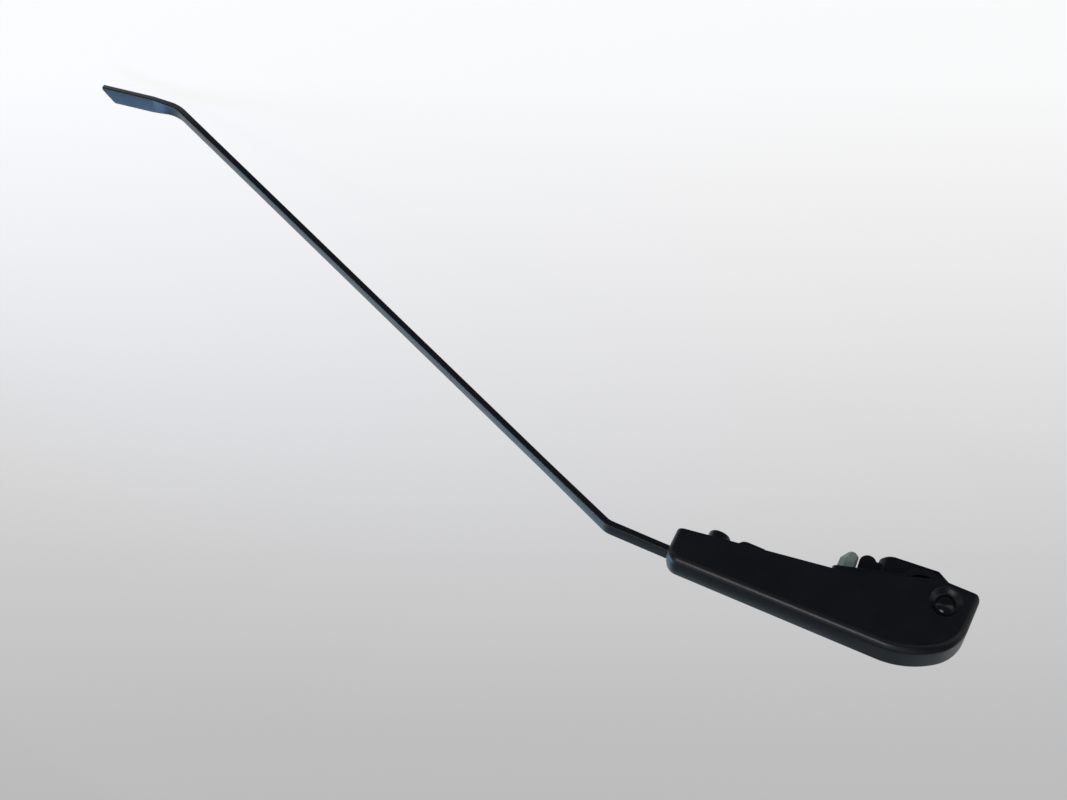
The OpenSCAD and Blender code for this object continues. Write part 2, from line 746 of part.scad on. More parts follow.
module spring_front_hook() {
    past = pull_length + (bar_t / 2 + wire_d / 2) / cos(lean) + hook_gap;
    color(steel) in_strap() {
        wire_riser(-coil_end - wire_d - coil_gap);
        wire_hook(-coil_end - wire_d - coil_gap, -past, -1);
    }
}

mounting_head();
hinge_bush();
strap_pin();
arm_cover();
hinge_pin();
hinge_shims();
arm_bar();
backing_plate();
clamp_block();
spring_washer();
clamp_screw();
tension_strap();
spring_saddle();
tension_spring();
spring_front_hook();
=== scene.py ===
# %% [markdown]
# # A wiper arm, dressed
# The solids of this arm are drawn in a CAD program and packed as a fixed frame. This script gives them
# their looks: a pressed cover with soft edges, a long flat bar, a spring wound from wire, and the paints
# and metals that such an arm is made of. Every length here is in metres once it reaches Blender, and the
# shapes are worked out in millimetres first, because that is how the arm was measured.

# %% Load the frame
import math
import bpy
import bmesh
import numpy as np
from mathutils import Matrix, Vector


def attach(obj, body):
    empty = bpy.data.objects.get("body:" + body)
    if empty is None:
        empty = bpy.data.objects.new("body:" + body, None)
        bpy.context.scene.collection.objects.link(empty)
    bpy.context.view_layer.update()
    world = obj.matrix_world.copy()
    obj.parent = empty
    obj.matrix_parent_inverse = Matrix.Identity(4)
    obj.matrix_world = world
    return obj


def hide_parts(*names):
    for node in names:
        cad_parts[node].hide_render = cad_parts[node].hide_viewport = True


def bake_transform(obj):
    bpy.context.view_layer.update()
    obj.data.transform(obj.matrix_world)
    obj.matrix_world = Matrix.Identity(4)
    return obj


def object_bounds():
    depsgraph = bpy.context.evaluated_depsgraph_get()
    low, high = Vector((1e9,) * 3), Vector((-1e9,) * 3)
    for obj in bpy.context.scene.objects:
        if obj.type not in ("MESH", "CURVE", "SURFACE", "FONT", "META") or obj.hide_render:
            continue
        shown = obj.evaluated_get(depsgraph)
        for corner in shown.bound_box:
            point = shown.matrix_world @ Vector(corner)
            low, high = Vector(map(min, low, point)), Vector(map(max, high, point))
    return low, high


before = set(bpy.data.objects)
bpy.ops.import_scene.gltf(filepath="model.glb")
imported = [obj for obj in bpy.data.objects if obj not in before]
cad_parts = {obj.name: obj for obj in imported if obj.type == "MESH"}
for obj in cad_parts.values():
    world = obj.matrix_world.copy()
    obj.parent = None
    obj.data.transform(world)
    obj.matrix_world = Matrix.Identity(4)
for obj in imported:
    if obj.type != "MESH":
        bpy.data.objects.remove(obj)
cad_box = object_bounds()
print("CAD box", [tuple(round(v, 4) for v in corner) for corner in cad_box])

# %% [markdown]
# ## Where things are
# The frame's origin is on the spindle, but the arm is easier to draw from its own hinge: x runs back
# along the cover, z points away from the glass, and the whole arm droops a few degrees when nothing
# holds it. One function turns such arm coordinates into the frame, and a second does the same for the
# strap and its spring, which run from a pin in the head up to the tail of the bar.

# %% Arm and strap coordinates
MM = 0.001
HINGE = np.array([26.0, 0.0, 15.4])
STRAP_PIN = np.array([21.3, 0.0, 6.15])
TAIL_HOOK = np.array([-92.5, 0.0, 18.0])
DROOP = math.radians(5.0)


def turned(points, place, angle):
    """Turns points about the y axis, nose down for a positive angle, moves them to a place, mm to m."""
    x, y, z = points[..., 0], points[..., 1], points[..., 2]
    c, s = math.cos(angle), math.sin(angle)
    return (np.stack([c * x - s * z, y, s * x + c * z], -1) + place) * MM


def from_arm(points):
    return turned(points, HINGE, DROOP)


pull = from_arm(TAIL_HOOK) / MM - STRAP_PIN
PULL_LENGTH = float(np.linalg.norm(pull))
STRAP_RISE = math.atan2(pull[2], -pull[0])


def from_strap(points):
    return turned(points, STRAP_PIN, -STRAP_RISE)


print("line of pull", round(PULL_LENGTH, 2), "mm long,",
      "rising", round(math.degrees(STRAP_RISE), 2), "degrees")

# %% [markdown]
# ## The camera
# It is placed first, because everything else is judged through it. The reference picture looks at the
# arm from one side and a little from above its back, so the back of the cover shows as a thin lit band
# under the dark side. The lens is half as long again as a normal one, so the far end shrinks little.

# %% Camera
# The picture's size and the lens in pixels, the eye's place in arm millimetres, and its three axes
PICTURE_WIDTH, PICTURE_HEIGHT, FOCAL = 1067.0, 800.0, 2200.0
EYE = np.array([4.3154, 911.7618, 437.1824])
RIGHT, UP, AHEAD = [0.902914, 0, -0.429822], [-0.37593, 0.48481, -0.789706], [-0.208382, -0.87462, -0.437741]
SENSOR = 36.0
camera_data = bpy.data.cameras.new("camera")
camera_data.sensor_width = SENSOR
camera_data.lens = SENSOR * FOCAL / PICTURE_WIDTH
camera_data.clip_start, camera_data.clip_end = 0.05, 100.0
camera = bpy.data.objects.new("camera", camera_data)
bpy.context.scene.collection.objects.link(camera)
eye = from_arm(EYE)


def arm_direction(v):
    """A direction in arm coordinates, as the frame sees it."""
    return (from_arm(np.array(v, float)) - from_arm(np.zeros(3))) / MM


right, up, ahead = (arm_direction(v) for v in (RIGHT, UP, AHEAD))
look = np.eye(4)
look[:3, 0], look[:3, 1], look[:3, 2], look[:3, 3] = right, up, -ahead, eye
camera.matrix_world = Matrix(look.tolist())
bpy.context.scene.camera = camera
print("camera", round(float(np.linalg.norm(EYE)) * MM, 3), "m from the hinge")

# %% [markdown]
# ## Colours and nodes
# Colours are written as the hex values that a screen shows, and one function turns them into the linear
# light that a renderer reckons with. A second function adds a node, sets it and links it, so that a
# material reads like a recipe.

# %% Helpers for materials
def linear(hex_colour):
    """sRGB hex to linear red, green, blue and 1: the standard curve with its straight foot."""
    s = np.array([int(hex_colour[i:i + 2], 16) for i in (1, 3, 5)]) / 255
    rgb = np.where(s <= 0.04045, s / 12.92, ((s + 0.055) / 1.055) ** 2.4)
    return (*[float(v) for v in rgb], 1.0)


def add(tree, kind, links=None, **settings):
    """Adds a node; settings name its attributes or its input sockets, links name inputs to feed."""
    node = tree.nodes.new("ShaderNode" + kind)
    for key, value in settings.items():
        if hasattr(node, key):
            setattr(node, key, value)
        else:
            node.inputs[key.replace("_", " ")].default_value = value
    for key, source in (links or {}).items():
        tree.links.new(source, node.inputs[key if isinstance(key, int) else key.replace("_", " ")])
    return node


def new_material(name):
    material = bpy.data.materials.new(name)
    material.use_nodes = True
    tree = material.node_tree
    tree.nodes.clear()
    shader = add(tree, "BsdfPrincipled")
    add(tree, "OutputMaterial", {"Surface": shader.outputs["BSDF"]})
    return material, tree, shader


def ramp(tree, source, stops):
    """A colour ramp: stops are pairs of place and hex colour."""
    node = add(tree, "ValToRGB", {"Fac": source})
    elements = node.color_ramp.elements
    while len(elements) < len(stops):
        elements.new(0.5)
    for element, (place, colour) in zip(elements, stops):
        element.position, element.color = place, linear(colour)
    return node


# %% [markdown]
# ## Floor and light
# The floor is a plain pale sheet just below the arm. Seen from the camera it fades evenly from white to
# a soft grey. The camera is rolled, so lines that look level in the picture are not parallel on the
# floor: they fan out from one point. The fade is therefore a gradient by angle about that point, painted
# on the floor itself, so that it stays put when the camera moves. The lamps are large and soft. Two high
# above the camera, one warm and one cool, draw the thin bright line along the cover's pressed edge. Two
# long low ones behind the arm shine along the backs of cover and bar, a small one close to the tip lights
# its bent face, and a wide one overhead lights everything else.

# %% Floor
FLOOR_GAP, FLOOR_REACH = 0.006, 30.0
low_z = cad_box[0].z - FLOOR_GAP


def level_sheet(name, x_span, y_span, z):
    """A level rectangle, in metres: its four corners in turn, joined by one face that looks up."""
    (x0, x1), (y0, y1) = x_span, y_span
    mesh = bpy.data.meshes.new(name)
    mesh.from_pydata([(x0, y0, z), (x1, y0, z), (x1, y1, z), (x0, y1, z)], [], [(0, 1, 2, 3)])
    sheet = bpy.data.objects.new(name, mesh)
    bpy.context.scene.collection.objects.link(sheet)
    return sheet


floor = level_sheet("floor", (-FLOOR_REACH, FLOOR_REACH), (-FLOOR_REACH, FLOOR_REACH), low_z)

# Matt pale paper: no shine, so it gives an even field of light
paper, tree, shader = new_material("matt_paper_floor")
place = add(tree, "TexCoord").outputs["Object"]
# The point where the picture's level lines meet on the floor
fan = eye + right * (low_z - eye[2]) / right[2]


def floor_angle(share):
    """Angle about the fan's centre of the floor line that looks level at a share of the picture's height.

    The line lies in the plane of the camera's ray and its right-hand axis, so its direction is the cross
    product of that plane's normal with the vertical."""
    ray = ahead + up * (0.5 - share) * PICTURE_HEIGHT / FOCAL
    line = np.cross(np.cross(ray, right), [0.0, 0.0, 1.0])
    return math.atan2(line[1], line[0]) % math.pi


# Grey at shares of the picture's height, from white at its top to a soft grey at its foot
FADE = [
    (0.0, "#ffffff"), (0.1, "#fefefe"), (0.3, "#f2f1f1"), (0.5, "#e3e2e2"),
    (0.7, "#d2d1d1"), (0.9, "#c5c4c4"), (1.0, "#c2c1c1"),
]
# The part of the floor's brightness that is its own, so that the rest can still take the arm's shadow
GLOW_SHARE = 0.92
angle_top, angle_foot = floor_angle(0.0), floor_angle(1.0)
from_fan = add(tree, "VectorMath", {0: place}, operation="SUBTRACT")
from_fan.inputs[1].default_value = fan
parts = add(tree, "SeparateXYZ", {0: from_fan.outputs[0]})
across = add(tree, "Math", {0: parts.outputs["X"]}, operation="MULTIPLY")
along = add(tree, "Math", {0: parts.outputs["Y"]}, operation="MULTIPLY")
across.inputs[1].default_value = along.inputs[1].default_value = -1.0
angle = add(tree, "Math", {0: along.outputs[0], 1: across.outputs[0]}, operation="ARCTAN2")
share = add(tree, "MapRange", {"Value": angle.outputs[0]}, From_Min=angle_top, From_Max=angle_foot)
stops = [((floor_angle(h) - angle_top) / (angle_foot - angle_top), c) for h, c in FADE]
tint = ramp(tree, share.outputs["Result"], stops)
print("floor fades from", round(math.degrees(angle_top), 1),
      "to", round(math.degrees(angle_foot), 1), "degrees")
tree.links.new(tint.outputs["Color"], shader.inputs["Base Color"])
shader.inputs["Roughness"].default_value = 1.0
shader.inputs["Specular IOR Level"].default_value = 0.0
glow = add(tree, "Emission", {"Color": tint.outputs["Color"]}, Strength=1.0)
rays = add(tree, "LightPath")
seen = add(tree, "Math", {0: rays.outputs["Is Camera Ray"], 1: rays.outputs["Is Glossy Ray"]},
           operation="MAXIMUM")
seen = add(tree, "Math", {0: seen.outputs[0], 1: rays.outputs["Is Transmission Ray"]}, operation="MAXIMUM")
share = add(tree, "Math", {0: seen.outputs[0]}, operation="MULTIPLY")
share.inputs[1].default_value = GLOW_SHARE
mix = add(tree, "MixShader", {0: share.outputs[0], 1: shader.outputs["BSDF"], 2: glow.outputs["Emission"]})
tree.links.new(mix.outputs[0], tree.nodes["Material Output"].inputs["Surface"])
floor.data.materials.append(paper)


# %% Lamps
def soft_lamp(name, direction, distance, size, radiance, colour, aim=(-0.06, 0.0, 0.02)):
    """A rectangular lamp placed along an arm direction and turned to the arm. An area lamp's watts are its
    radiance times pi times its area."""
    data = bpy.data.lights.new(name, "AREA")
    data.shape = "RECTANGLE"
    data.size, data.size_y = size
    data.color = linear(colour)[:3]
    data.energy = radiance * math.pi * size[0] * size[1]
    lamp = bpy.data.objects.new(name, data)
    bpy.context.scene.collection.objects.link(lamp)
    target = Vector(aim)
    away = Vector(arm_direction(direction)).normalized()
    lamp.location = target + away * distance
    # local x of the lamp stays along the arm, so its length follows the bar
    z = away
    x = (Vector((1, 0, 0)) - z * z.x).normalized()
    y = z.cross(x)
    lamp.rotation_mode = "QUATERNION"
    lamp.rotation_quaternion = Matrix((x, y, z)).transposed().to_quaternion()
    lamp.visible_camera = False


soft_lamp("lamp_over_camera_warm", (-0.21, 0.57, 0.80), 1.3, (0.34, 0.30), 8.0, "#ffdcbc")
soft_lamp("lamp_over_camera_cool", (0.01, 0.57, 0.82), 1.3, (0.28, 0.30), 11.0, "#cfdfff")
soft_lamp("lamp_behind_cover", (0.03, -0.98, 0.14), 1.3, (1.0, 0.34), 0.3, "#a9e0f2")
soft_lamp("lamp_behind_bar", (-0.66, -0.75, 0.11), 1.5, (1.1, 0.34), 0.85, "#bbe6f0")
soft_lamp("lamp_overhead", (0.0, 0.0, 1.0), 1.4, (2.2, 1.3), 0.5, "#d2dff0")
soft_lamp("lamp_over_tip", (-0.25, -0.56, 0.79), 0.5, (0.5, 0.26), 7.0, "#90c4fa", aim=(-0.44, 0.0, -0.09))

# %% Far wall
# The studio's far wall is pale wherever the camera looks. Reflections find it pale near the floor and
# dimmer higher up, and its light on the arm is plain and low
LIT, SEEN_LOW, SEEN_HIGH, MIRRORED_LOW = 0.14, 1.0, 0.8, 0.7
world = bpy.data.worlds.new("studio")
bpy.context.scene.world = world
world.use_nodes = True
tree = world.node_tree
wall = tree.nodes["Background"]
wall.inputs["Color"].default_value = linear("#dde4ec")
rise = add(tree, "SeparateXYZ", {0: add(tree, "TexCoord").outputs["Generated"]}).outputs["Z"]
rays = add(tree, "LightPath")
mirrored = add(tree, "Math", {0: rays.outputs["Is Glossy Ray"], 1: rays.outputs["Is Transmission Ray"]},
               operation="MAXIMUM")
seen_wall = add(tree, "MapRange", {"Value": rise}, From_Min=0.0, From_Max=0.5,
                To_Min=SEEN_LOW, To_Max=SEEN_HIGH)
mirror_wall = add(tree, "MapRange", {"Value": rise}, From_Min=0.02, From_Max=0.27,
                  To_Min=MIRRORED_LOW, To_Max=LIT)
glossy = add(tree, "Mix", {0: mirrored.outputs[0], 3: mirror_wall.outputs["Result"]}, data_type="FLOAT")
glossy.inputs[2].default_value = LIT
sources = {0: rays.outputs["Is Camera Ray"], 2: glossy.outputs[0], 3: seen_wall.outputs["Result"]}
strength = add(tree, "Mix", sources, data_type="FLOAT")
tree.links.new(strength.outputs[0], wall.inputs["Strength"])

# %% Dark sheet, seen only in reflections
# A dim sheet lies in front of the arm, and only reflections see it. It paints a dark reflection into the
# black paint, which mirrors it and stays black. It neither shows nor shades the floor
CARD_X, CARD_Y, CARD_GAP = (-0.9, 0.3), (0.02, 5.5), 0.004
reflection_only_sheet = level_sheet("dark_card", CARD_X, CARD_Y, low_z + CARD_GAP)
reflection_only_sheet.visible_camera = reflection_only_sheet.visible_diffuse = reflection_only_sheet.visible_shadow = reflection_only_sheet.visible_transmission = False
# Grey and matt, for reflections only: it paints a dark reflection into the black coatings
reflection_only_sheet_paint, tree, shader = new_material("grey_felt_card")
shader.inputs["Base Color"].default_value = linear("#7c7f86")
shader.inputs["Roughness"].default_value = 1.0
shader.inputs["Specular IOR Level"].default_value = 0.0
reflection_only_sheet.data.materials.append(reflection_only_sheet_paint)

bpy.context.scene.view_settings.view_transform = "Standard"

# %% [markdown]
# ## Paints and metals
# The cover, the bar and the strap are steel that was phosphated, dipped and baked with a satin black
# coating, so they are nearly black, with a shine that is soft and slightly uneven. The head is a casting
# under the same coating and is rougher. The hinge rivet is blackened. The strap's pin, the shims, the
# backing plate and the clamp block are zinc plated, the spring and the spring washer are dark oiled
# steel, the bush is sintered bronze, and the saddle with its buffer post is natural nylon.

# %% Black coatings
def coated(name, base, rough, peel_mm, peel, blotch=0.04, level=0.42):
    """A baked black coating: a dark dielectric skin with fine orange peel and uneven shine. It is thin and
    slightly porous, so straight on it reflects less than a clear varnish would."""
    material, tree, shader = new_material(name)
    place = add(tree, "TexCoord").outputs["Object"]
    # peel_mm is the width of one wave of the peel, and the noise's scale is waves per metre
    peel_noise = add(tree, "TexNoise", {"Vector": place}, Scale=1000.0 / peel_mm, Detail=3.0, Roughness=0.5)
    cloud = add(tree, "TexNoise", {"Vector": place}, Scale=60.0, Detail=4.0, Roughness=0.6)
    rough_range = add(tree, "MapRange", {"Value": cloud.outputs["Fac"]}, From_Min=0.3, From_Max=0.7,
                      To_Min=rough - blotch, To_Max=rough + blotch)
    tree.links.new(rough_range.outputs["Result"], shader.inputs["Roughness"])
    tint = ramp(tree, cloud.outputs["Fac"], [(0.35, base), (0.75, "#161618")])
    # the coating rubs thin where an edge stands out, in patches
    edge = add(tree, "NewGeometry").outputs["Pointiness"]
    bare = add(tree, "MapRange", {"Value": edge}, From_Min=0.53, From_Max=0.62, To_Min=0.0, To_Max=0.6)
    patches = add(tree, "MapRange", {"Value": cloud.outputs["Fac"]}, From_Min=0.45, From_Max=0.65)
    rubbed = add(tree, "Math", {0: bare.outputs["Result"], 1: patches.outputs["Result"]},
                 operation="MULTIPLY")
    worn = add(tree, "Mix", {0: rubbed.outputs[0], 6: tint.outputs["Color"]}, data_type="RGBA")
    worn.inputs[7].default_value = linear("#3a3632")
    tree.links.new(worn.outputs[2], shader.inputs["Base Color"])
    bump = add(tree, "Bump", {"Height": peel_noise.outputs["Fac"]}, Strength=peel, Distance=0.00003)
    tree.links.new(bump.outputs["Normal"], shader.inputs["Normal"])
    shader.inputs["IOR"].default_value = 1.5
    shader.inputs["Specular IOR Level"].default_value = level
    return material


# Dipped and baked on sheet steel: soft wide highlights that break up a little
steel_black = coated("baked_black_coating_on_steel", "#0f0f11", 0.35, 0.8, 0.5)
# The same coating on a cast skin: rougher, so it looks duller
cast_black = coated("black_coating_on_casting", "#101012", 0.5, 1.4, 1.0, level=0.22)
# Black oxide on a turned head: thin and smooth, so its glints are small and sharp
rivet_black = coated("black_oxide_on_rivet", "#0c0c0e", 0.2, 2.0, 0.2, 0.03)
print("coatings", steel_black.name, cast_black.name, rivet_black.name)


# %% Plated, drawn and sintered metals
def metal(name, colour, rough, grain_mm, stretch=(1, 1, 1), bump_height=0.00001):
    """A metal with a fine grain: noise stretched along the way the piece was worked. Real grain is finer,
    and this one is as coarse as it needs to be to show."""
    material, tree, shader = new_material(name)
    place = add(tree, "TexCoord").outputs["Object"]
    mapping = add(tree, "Mapping", {"Vector": place}, Scale=stretch)
    grain = add(tree, "TexNoise", {"Vector": mapping.outputs["Vector"]},
                Scale=1000.0 / grain_mm, Detail=4.0)
    span = add(tree, "MapRange", {"Value": grain.outputs["Fac"]}, To_Min=rough - 0.08, To_Max=rough + 0.08)
    tree.links.new(span.outputs["Result"], shader.inputs["Roughness"])
    bump = add(tree, "Bump", {"Height": grain.outputs["Fac"]}, Strength=0.4, Distance=bump_height)
    tree.links.new(bump.outputs["Normal"], shader.inputs["Normal"])
    shader.inputs["Base Color"].default_value = linear(colour)
    shader.inputs["Metallic"].default_value = 1.0
    return material


# Zinc plating on stamped steel: pale grey and half matt
zinc = metal("zinc_plated_steel", "#9c9c98", 0.38, 1.5)
# Drawn wire under oil: darker, with its grain along the wire
wire_steel = metal("oiled_spring_wire", "#5d5c59", 0.34, 0.6, (0.2, 1, 1))
# Sintered bronze: warm, and dull because it is porous
bronze = metal("sintered_bronze", "#8f7446", 0.5, 0.4)
print("metals", zinc.name, wire_steel.name, bronze.name)

# %% Natural nylon
# Moulded and undyed: pale and waxy, because light goes a little way into it
nylon, tree, shader = new_material("moulded_natural_nylon")
place = add(tree, "TexCoord").outputs["Object"]
cloud = add(tree, "TexNoise", {"Vector": place}, Scale=250.0, Detail=3.0)
tint = ramp(tree, cloud.outputs["Fac"], [(0.35, "#8d988b"), (0.7, "#a2a794")])
tree.links.new(tint.outputs["Color"], shader.inputs["Base Color"])
shader.inputs["Roughness"].default_value = 0.42
shader.inputs["IOR"].default_value = 1.53
shader.inputs["Subsurface Weight"].default_value = 0.25
shader.inputs["Subsurface Radius"].default_value = (0.004, 0.004, 0.003)
shader.inputs["Subsurface Scale"].default_value = 0.3

# %% [markdown]
# ## Meshes from grids
# Each new surface is a grid of points, worked out as whole arrays. The corner numbers of the grid's
# cells follow from its rows and columns alone, so one function serves every surface. Patches that share
# an edge are joined by merging the points that fall together.

# %% Helpers for meshes
def cells(rows, cols, wrap_cols=False):
    """Four corner numbers for every cell of a rows by cols grid. The corner in row r and column c is number
    r times cols plus c. Wrapping joins the last column to the first."""
    last_col = cols if wrap_cols else cols - 1
    r, c = np.meshgrid(np.arange(rows - 1), np.arange(last_col), indexing="ij")
    r1, c1 = r + 1, (c + 1) % cols
    return np.stack([r * cols + c, r * cols + c1, r1 * cols + c1, r1 * cols + c], -1)


def capped(rows, cols):
    """Faces of a closed tube: the cells round it, and one many-sided face over each end."""
    ring = np.arange(cols)[None]
    return [cells(rows, cols, wrap_cols=True), ring[:, ::-1], (rows - 1) * cols + ring]


def joined(name, patches, merge=2e-6):
    """One mesh from patches, each a pair of points in metres and faces. Faces are an array of corner numbers
    or a list of such arrays, and points closer than merge become one."""
    points, faces, start = [], [], 0
    for p, f in patches:
        p = np.asarray(p, float).reshape(-1, 3)
        for group in f if isinstance(f, list) else [f]:
            group = np.asarray(group)
            faces += (group.reshape(-1, group.shape[-1]) + start).tolist()
        points.append(p)
        start += len(p)
    mesh = bpy.data.meshes.new(name)
    mesh.from_pydata(np.concatenate(points).tolist(), [], faces)
    work = bmesh.new()
    work.from_mesh(mesh)
    bmesh.ops.remove_doubles(work, verts=work.verts, dist=merge)
    work.to_mesh(mesh)
    work.free()
    return mesh


def faced_outwards(mesh):
    """Turns every face of a closed mesh outwards."""
    work = bmesh.new()
    work.from_mesh(mesh)
    bmesh.ops.recalc_face_normals(work, faces=work.faces)
    work.to_mesh(mesh)
    work.free()
    return mesh


def settled(piece, sharp=35.0):
    """Applies a piece's modifiers, then shades it smooth between edges sharper than an angle, with each
    normal weighted by the area of its faces."""
    for step in ("shape", "shade"):
        depsgraph = bpy.context.evaluated_depsgraph_get()
        mesh = bpy.data.meshes.new_from_object(piece.evaluated_get(depsgraph))
        piece.modifiers.clear()
        piece.data = mesh
        if step == "shape":
            mesh.polygons.foreach_set("use_smooth", np.ones(len(mesh.polygons), bool))
            mesh.set_sharp_from_angle(angle=math.radians(sharp))
            weighted = piece.modifiers.new("weighted", "WEIGHTED_NORMAL")
            weighted.keep_sharp = True


def placed(name, mesh, material):
    """A new piece at the origin, with its one material and that material's slot."""
    piece = bpy.data.objects.new(name, mesh)
    bpy.context.scene.collection.objects.link(piece)
    mesh.materials.clear()
    mesh.materials.append(material)
    return piece


def rounded_edges(piece, width_mm, segments=3, angle=35.0):
    """Breaks every edge sharper than an angle with a small round, as pressing or casting leaves it."""
    bevel = piece.modifiers.new("edges", "BEVEL")
    bevel.width, bevel.segments = width_mm * MM, segments
    bevel.limit_method, bevel.angle_limit = "ANGLE", math.radians(angle)
    bevel.use_clamp_overlap = True


# %% [markdown]
# ## The cover
# The cover is pressed from one sheet, 1.5 mm thick, into an upside-down channel that is closed at both
# ends. From the side its back rises slightly towards the nose, and at the other end it curves down round
# the hinge. The edges between back and sides are rolled over a 3.5 mm radius. A box with bevels would show
# flats on those curves, so the band over back and ends is worked out as a profile carried along its path:
# at each step the outward direction and the sideways direction span a quarter circle. The sides are flat,
# apart from a dished seat round the hinge pin, which is a ring-shaped patch whose rings follow the dish.

# %% The cover's profile
# Ends and top, half widths, radii of the rolled edge, of the open edge's corners and of the nose's corner
FRONT, REAR, TOP = -123.3, 13.5, 31.3
FRONT_HALF, HINGE_HALF = 8.25, 10.06
EDGE = 3.5
LIP, EAR = 1.0, 3.0
FRONT_CORNER = 6.3
WALL = 1.5
# Places along the arm: where the back starts to curve down, where the flat front part of a side meets
# the ring-shaped rear part, and where the open edge turns into the slanted ear and then level
CROWN_X, SPLIT, KNEE_X, EAR_X = -20.0, -22.0, -47.0, -6.0
LEVEL_END, LIP_Z, KNEE_Z, EAR_Z = 10.5, 16.3, 4.9, -9.6
# How far the back rises towards the nose and arches across, and the runs over which each builds up
NOSE_RISE, RISE_RUN, CROWN, CROWN_RUN = 1.3, 98.0, 0.3, 25.0
crown_radius, heel_radius = 42.0, 19.0
crown_centre = np.array([CROWN_X, TOP - crown_radius])
heel_x = REAR - heel_radius
heel_rise = math.sqrt((crown_radius - heel_radius) ** 2 - (heel_x - CROWN_X) ** 2)
heel_centre = np.array([heel_x, crown_centre[1] + heel_rise])
blend_angle = math.atan2(*(heel_centre - crown_centre)[::-1])


def half_width(x):
    """Half the cover's width, growing evenly from the front end past the hinge, where x is 0."""
    return FRONT_HALF + (HINGE_HALF - FRONT_HALF) * (1 - x / FRONT)


def open_edge(x):
    """Height of the cover's open edge: a lip corner, a long straight, a slanted ear, a level, a corner."""
    z = np.interp(x, [FRONT, KNEE_X, EAR_X, LEVEL_END], [LIP_Z, KNEE_Z, EAR_Z, EAR_Z])
    front = np.clip((FRONT + LIP - x) / LIP, 0, 1)
    rear = np.clip((x - REAR + EAR) / EAR, 0, 1)
    return z + LIP * (1 - np.sqrt(1 - front ** 2)) + EAR * (1 - np.sqrt(1 - rear ** 2))


def spine(x):
    """Height of the back: level over the hinge, then rising a little towards the nose."""
    return TOP + NOSE_RISE * np.clip((CROWN_X - x) / RISE_RUN, 0, 1)


# The bar's window starts at row 4 of the front wall and ends at a step of the corner above. That row and
# that step are worked out from the window's two heights, so that its edges fall on them
WINDOW, WINDOW_ROW = (24.15, 28.05), 4
corner_z = float(spine(FRONT + FRONT_CORNER)) - FRONT_CORNER
wall_foot = float(open_edge(np.array(FRONT)))
window_share = (WINDOW[0] - wall_foot) / (corner_z - wall_foot)
rows_up = np.array([0, 0.2, 0.4, 0.58, window_share, 0.86, 1.0])
rows_down = np.linspace(0, 1, 9)
window_turn = math.degrees(math.asin((WINDOW[1] - corner_z) / FRONT_CORNER))
corner_turns = np.radians(np.concatenate([np.linspace(0, window_turn, 4), np.linspace(28, 90, 9)]))[1:]
back_x = np.concatenate([
    np.linspace(FRONT + FRONT_CORNER, KNEE_X, 26)[1:], np.linspace(KNEE_X, SPLIT, 10)[1:], [CROWN_X]])
crown_turns = np.linspace(math.pi / 2, blend_angle, 22)[1:]
heel_turns = np.linspace(blend_angle, 0, 30)[1:]

corner_centre = np.array([FRONT + FRONT_CORNER, corner_z])


def arc_steps(centre, radius, turns):
    """Steps along an arc seen from the side: the centre of the rolled edge, which lies its radius inside
    the arc, and the outward direction, which is the cosine and the sine of the turn."""
    out = np.stack([np.cos(turns), np.sin(turns)], -1)
    return centre + (radius - EDGE) * out, out


corner_mid, corner_out = arc_steps(corner_centre, FRONT_CORNER, math.pi - corner_turns)
back_mid = np.stack([back_x, spine(back_x) - EDGE], -1)
back_out = np.tile([0.0, 1.0], (len(back_x), 1))
crown_mid, crown_out = arc_steps(crown_centre, crown_radius, crown_turns)
heel_mid, heel_out = arc_steps(heel_centre, heel_radius, heel_turns)
mid = np.concatenate([corner_mid, back_mid, crown_mid, heel_mid])
out = np.concatenate([corner_out, back_out, crown_out, heel_out])

# across the band: a quarter circle, a flat, a quarter circle
quarter = np.radians(np.linspace(90, 0, 11))
flat = np.linspace(1, -1, 9)[1:-1]
phi = np.concatenate([quarter, np.zeros(len(flat)), quarter[::-1]])
side = np.concatenate([np.ones(len(quarter)), flat, -np.ones(len(quarter))])
in_quarter, in_flat = np.ones(len(quarter), bool), np.zeros(len(flat), bool)
roll = np.concatenate([in_quarter, in_flat, in_quarter])


def band(mid, out):
    """Band points: the centre, plus the edge radius outward by cos phi and sideways by sin phi. On the flat
    between the two quarter circles y runs evenly and the arch is added."""
    shoulder = half_width(mid[:, :1]) - EDGE
    y = side * shoulder + np.where(roll, side * EDGE * np.sin(phi), 0.0)
    arch = CROWN * np.clip((SPLIT - mid[:, :1]) / CROWN_RUN, 0, 1) * np.where(roll, 0.0, 1 - side ** 2)
    rise = EDGE * np.cos(phi) + arch
    return np.stack([mid[:, :1] + out[:, :1] * rise, y, mid[:, 1:] + out[:, 1:] * rise], -1)


bent = band(mid, out)
nose_mid = np.tile([FRONT + EDGE, corner_z], (len(rows_up), 1))
nose = band(nose_mid, np.tile([-1.0, 0.0], (len(rows_up), 1)))
low = open_edge(nose[0, :, 0])
nose[..., 2] = low + (corner_z - low) * rows_up[:, None]
rear_mid = np.tile([REAR - EDGE, heel_centre[1]], (len(rows_down), 1))
rear = band(rear_mid, np.tile([1.0, 0.0], (len(rows_down), 1)))
low = open_edge(rear[0, :, 0])
rear[..., 2] = heel_centre[1] + (low - heel_centre[1]) * rows_down[:, None]
cover_band = np.concatenate([nose, bent, rear[1:]])
band_cells = cells(*cover_band.shape[:2])
# the window for the bar: the cells of the flat between two rows
window_top = len(rows_up) + 2
keep = np.ones(band_cells.shape[:2], bool)
keep[WINDOW_ROW:window_top, len(quarter) - 1:len(quarter) + len(flat)] = False
middle = cover_band[:, cover_band.shape[1] // 2, 2]
print("cover band", cover_band.shape[:2],
      "window from z", middle[WINDOW_ROW].round(2), "to", middle[window_top].round(2))

